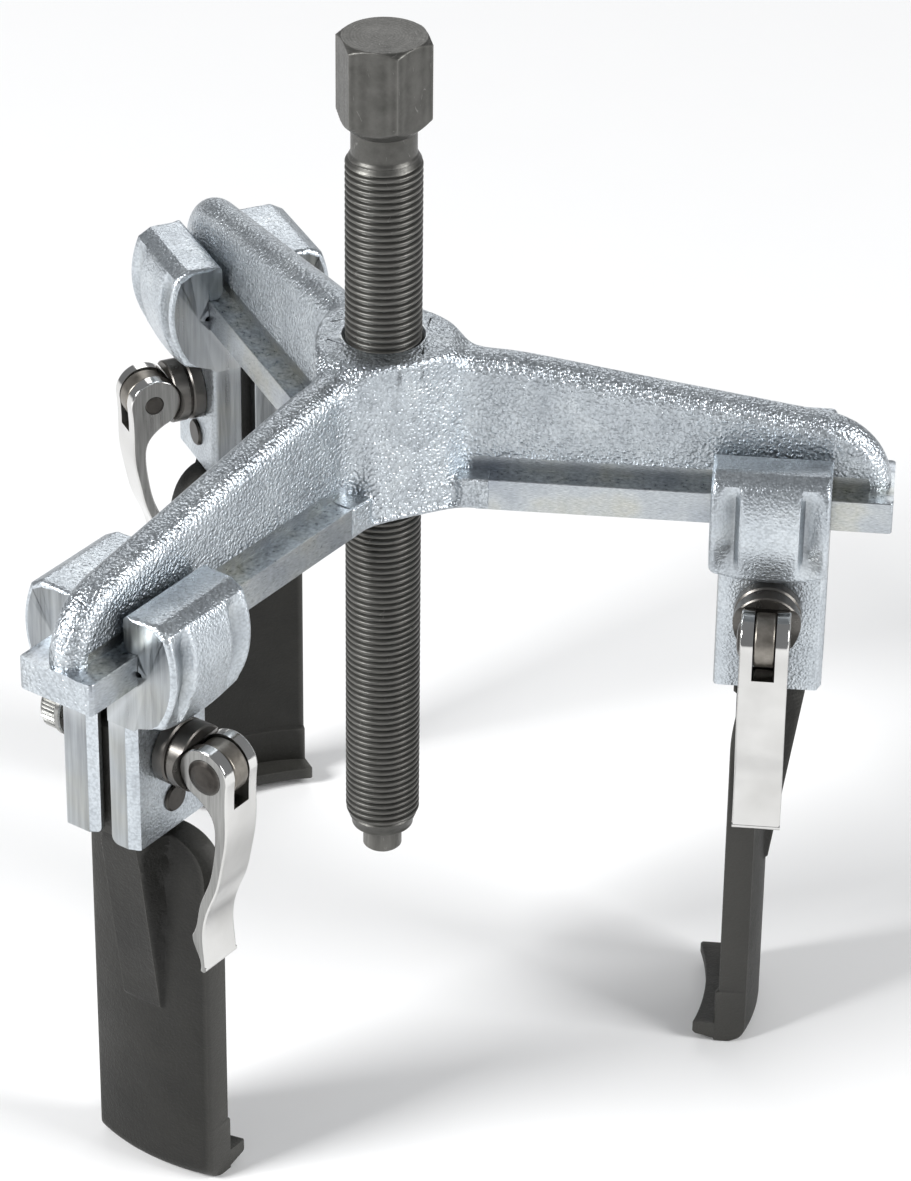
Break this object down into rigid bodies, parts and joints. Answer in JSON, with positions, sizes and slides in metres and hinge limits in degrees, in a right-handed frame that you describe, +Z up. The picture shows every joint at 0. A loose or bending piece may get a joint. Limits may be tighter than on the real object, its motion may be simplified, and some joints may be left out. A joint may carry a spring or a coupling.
{
  "type": "three-arm gear puller",
  "caption": "Sliding-leg gear puller with a forged crossbeam, a hexagon-headed forcing screw and quick-release cam levers that clamp each hooked leg to its arm.",
  "frame": {"origin": "centre of the thrust tip's lower face, with the spindle where it is shown", "axes": "+Z up along the spindle towards the hexagon; +X along arm a; arms b and c follow at 120 and 240 degrees about +Z"},
  "size_m": [0.2406, 0.2658, 0.317],
  "materials": {
    "zinc_forging": "forged steel, bright zinc plated",
    "phosphated_screw": "rolled thread, dark phosphated and oiled",
    "phosphated_forging": "drop forged, dark grey phosphated, fine grain",
    "polished_steel": "polished stainless, brushed flanks",
    "black_oxide": "turned steel, black oxide, oiled",
    "bright_nut": "turned and straight knurled, bright zinc"
  },
  "bodies": {
    "crossbeam": {"crossbeam": "zinc_forging"},
    "thrust_tip": {"thrust_tip": "phosphated_screw"},
    "spindle": {"spindle": "phosphated_screw"},
    "slider_a": {"nut_cheek_a": "zinc_forging", "eye_bolt_a": "black_oxide", "lever_pin_a": "black_oxide", "nut_washer_a": "black_oxide", "leg_pin_a": "black_oxide"},
    "cheek_a": {"lever_cheek_a": "zinc_forging", "pressure_ring_a": "black_oxide", "saddle_washer_a": "black_oxide"},
    "lever_a": {"cam_lever_a": "polished_steel"},
    "nut_a": {"knurled_nut_a": "bright_nut"},
    "leg_a": {"leg_a": "phosphated_forging"},
    "slider_b": {"nut_cheek_b": "zinc_forging", "eye_bolt_b": "black_oxide", "lever_pin_b": "black_oxide", "nut_washer_b": "black_oxide", "leg_pin_b": "black_oxide"},
    "cheek_b": {"lever_cheek_b": "zinc_forging", "pressure_ring_b": "black_oxide", "saddle_washer_b": "black_oxide"},
    "lever_b": {"cam_lever_b": "polished_steel"},
    "nut_b": {"knurled_nut_b": "bright_nut"},
    "leg_b": {"leg_b": "phosphated_forging"},
    "slider_c": {"nut_cheek_c": "zinc_forging", "eye_bolt_c": "black_oxide", "lever_pin_c": "black_oxide", "nut_washer_c": "black_oxide", "leg_pin_c": "black_oxide"},
    "cheek_c": {"lever_cheek_c": "zinc_forging", "pressure_ring_c": "black_oxide", "saddle_washer_c": "black_oxide"},
    "lever_c": {"cam_lever_c": "polished_steel"},
    "nut_c": {"knurled_nut_c": "bright_nut"},
    "leg_c": {"leg_c": "phosphated_forging"}
  },
  "joints": [
    {"name": "spindle_feed", "type": "slide", "parent": "crossbeam", "child": "thrust_tip", "axis": [0, 0, 1], "range_m": [-0.055, 0.1]},
    {"name": "spindle_turn", "type": "hinge", "parent": "thrust_tip", "child": "spindle", "pos_m": [0, 0, 0.1], "axis": [0, 0, 1], "range_deg": [-9900, 18000]},
    {"name": "slide_a", "type": "slide", "parent": "crossbeam", "child": "slider_a", "axis": [1, 0, 0], "range_m": [-0.0626, 0.0173]},
    {"name": "lever_swing_a", "type": "hinge", "parent": "slider_a", "child": "lever_a", "pos_m": [0.1126, -0.0272, 0.0975], "axis": [-1, 0, 0], "range_deg": [0, 120]},
    {"name": "cheek_release_a", "type": "slide", "parent": "slider_a", "child": "cheek_a", "axis": [0, -1, 0], "range_m": [0, 0.0006]},
    {"name": "nut_turn_a", "type": "hinge", "parent": "slider_a", "child": "nut_a", "pos_m": [0.1126, 0.026, 0.0975], "axis": [0, 1, 0], "continuous": true},
    {"name": "leg_sway_a", "type": "hinge", "parent": "slider_a", "child": "leg_a", "pos_m": [0.1126, 0, 0.081], "axis": [0, 1, 0], "range_deg": [-2, 2]},
    {"name": "slide_b", "type": "slide", "parent": "crossbeam", "child": "slider_b", "axis": [-0.5, 0.866, 0], "range_m": [-0.0714, 0.0085]},
    {"name": "lever_swing_b", "type": "hinge", "parent": "slider_b", "child": "lever_b", "pos_m": [-0.08426, 0.09154, 0.0975], "axis": [-0.5, 0.866, 0], "range_deg": [0, 120]},
    {"name": "cheek_release_b", "type": "slide", "parent": "slider_b", "child": "cheek_b", "axis": [-0.866, -0.5, 0], "range_m": [0, 0.0006]},
    {"name": "nut_turn_b", "type": "hinge", "parent": "slider_b", "child": "nut_b", "pos_m": [-0.03818, 0.11814, 0.0975], "axis": [-0.866, -0.5, 0], "continuous": true},
    {"name": "leg_sway_b", "type": "hinge", "parent": "slider_b", "child": "leg_b", "pos_m": [-0.0607, 0.10514, 0.081], "axis": [-0.866, -0.5, 0], "range_deg": [-2, 2]},
    {"name": "slide_c", "type": "slide", "parent": "crossbeam", "child": "slider_c", "axis": [-0.5, -0.866, 0], "range_m": [-0.0608, 0.0191]},
    {"name": "lever_swing_c", "type": "hinge", "parent": "slider_c", "child": "lever_c", "pos_m": [-0.03184, -0.10956, 0.0975], "axis": [-0.5, -0.866, 0], "range_deg": [0, 120]},
    {"name": "cheek_release_c", "type": "slide", "parent": "slider_c", "child": "cheek_c", "axis": [0.866, -0.5, 0], "range_m": [0, 0.0006]},
    {"name": "nut_turn_c", "type": "hinge", "parent": "slider_c", "child": "nut_c", "pos_m": [-0.07792, -0.08296, 0.0975], "axis": [0.866, -0.5, 0], "continuous": true},
    {"name": "leg_sway_c", "type": "hinge", "parent": "slider_c", "child": "leg_c", "pos_m": [-0.0554, -0.09596, 0.081], "axis": [0.866, -0.5, 0], "range_deg": [-2, 2]}
  ],
  "couplings": [
    {"joint": "spindle_feed", "follows": "spindle_turn", "m_per_rad": 0.00031831},
    {"joint": "cheek_release_a", "follows": "lever_swing_a", "m_per_rad": 0.00028648},
    {"joint": "cheek_release_b", "follows": "lever_swing_b", "m_per_rad": 0.00028648},
    {"joint": "cheek_release_c", "follows": "lever_swing_c", "m_per_rad": 0.00028648}
  ]
}
